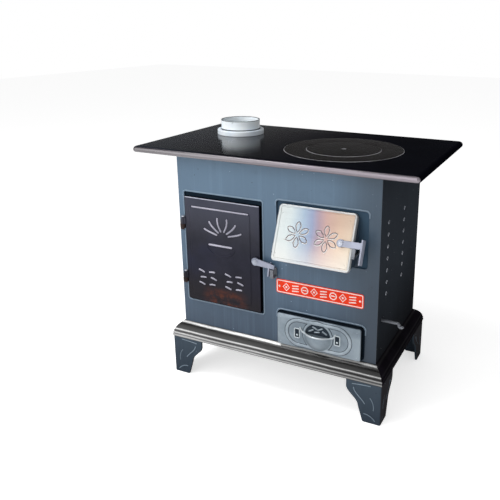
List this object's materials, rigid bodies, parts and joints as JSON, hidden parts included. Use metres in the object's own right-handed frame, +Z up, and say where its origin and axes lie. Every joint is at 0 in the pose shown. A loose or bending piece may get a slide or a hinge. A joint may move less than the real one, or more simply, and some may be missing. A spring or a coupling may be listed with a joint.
{
  "type": "solid-fuel cooking stove",
  "caption": "Sheet-steel wood and coal cooking stove with a wide hotplate, oven door, slanted stoking door, ash drawer, flue collar and cast legs.",
  "frame": {"origin": "on the floor under the middle of the stove", "axes": "+X to the right seen from the front, the doors face -Y, +Z up"},
  "size_m": [0.8, 0.4853, 0.727],
  "materials": {
    "body_paint": "satin blue-grey paint with faint vertical streaks",
    "black_plate": "satin black-brown, oiled",
    "gloss_black": "gloss black enamel",
    "black_casting": "rough black casting with a faint brown tinge",
    "galvanised": "bright galvanised, satin",
    "zinc_plate": "zinc plated",
    "bare_steel": "ground bare steel with heat tint",
    "silver_casting": "silver-blue painted casting",
    "grey_sheet": "plain sheet",
    "red_enamel": "gloss red with a pale border",
    "rivet_white": "bright",
    "firebrick": "dull fired clay"
  },
  "bodies": {
    "stove": {"front_panel": "body_paint", "right_panel": "body_paint", "left_panel": "body_paint", "back_panel": "body_paint", "bottom_pan": "body_paint", "feed_chute": "body_paint", "leg_front_left": "body_paint", "leg_front_right": "body_paint", "leg_back_left": "body_paint", "leg_back_right": "body_paint", "hotplate": "black_plate", "cooking_ring": "black_plate", "cooking_lid": "black_plate", "moulding_front": "gloss_black", "moulding_back": "gloss_black", "moulding_left": "gloss_black", "moulding_right": "gloss_black", "oven_hinge_lugs": "black_casting", "grate_frame": "black_casting", "firebox_casing": "black_casting", "collar_ring": "galvanised", "flue_spigot": "galvanised", "collar_screws": "zinc_plate", "leg_bolts": "zinc_plate", "leg_nuts": "zinc_plate", "oven_hinge_pins": "zinc_plate", "oven_keeper": "zinc_plate", "stoking_hinge_pins": "zinc_plate", "stoking_keeper": "zinc_plate", "ash_pit": "grey_sheet", "oven_box": "grey_sheet", "oven_rails": "grey_sheet", "oven_shelf": "grey_sheet", "partition": "grey_sheet", "red_plate": "red_enamel", "plate_rivets": "rivet_white", "brick_left": "firebrick", "brick_right": "firebrick", "brick_front": "firebrick", "brick_back": "firebrick"},
    "oven_door": {"oven_door": "black_casting", "oven_lever_pin": "zinc_plate"},
    "oven_latch": {"oven_lever": "zinc_plate"},
    "stoking_door": {"stoking_door": "bare_steel", "stoking_lever_pin": "zinc_plate"},
    "stoking_latch": {"stoking_lever": "zinc_plate"},
    "ash_drawer": {"drawer_front": "silver_casting", "drawer_box": "grey_sheet", "drawer_rivets": "zinc_plate"},
    "grate": {"grate": "black_casting", "shaker_rod": "zinc_plate"}
  },
  "joints": [
    {"name": "oven_door_hinge", "type": "hinge", "parent": "stove", "child": "oven_door", "pos_m": [-0.279, -0.1888, 0.393], "axis": [0, 0, -1], "range_deg": [0, 110]},
    {"name": "oven_latch_turn", "type": "hinge", "parent": "oven_door", "child": "oven_latch", "pos_m": [-0.047, -0.1946, 0.392], "axis": [0, -1, 0], "range_deg": [-6, 60]},
    {"name": "stoking_door_hinge", "type": "hinge", "parent": "stove", "child": "stoking_door", "pos_m": [0.023, -0.20674, 0.47802], "axis": [0, -0.3907, -0.9205], "range_deg": [0, 70]},
    {"name": "stoking_latch_turn", "type": "hinge", "parent": "stoking_door", "child": "stoking_latch", "pos_m": [0.209, -0.2257, 0.49476], "axis": [0, -0.9205, 0.3907], "range_deg": [-6, 30]},
    {"name": "ash_drawer_slide", "type": "slide", "parent": "stove", "child": "ash_drawer", "axis": [0, -1, 0], "range_m": [0, 0.2]},
    {"name": "grate_shake", "type": "slide", "parent": "stove", "child": "grate", "axis": [1, 0, 0], "range_m": [-0.012, 0.012]}
  ]
}
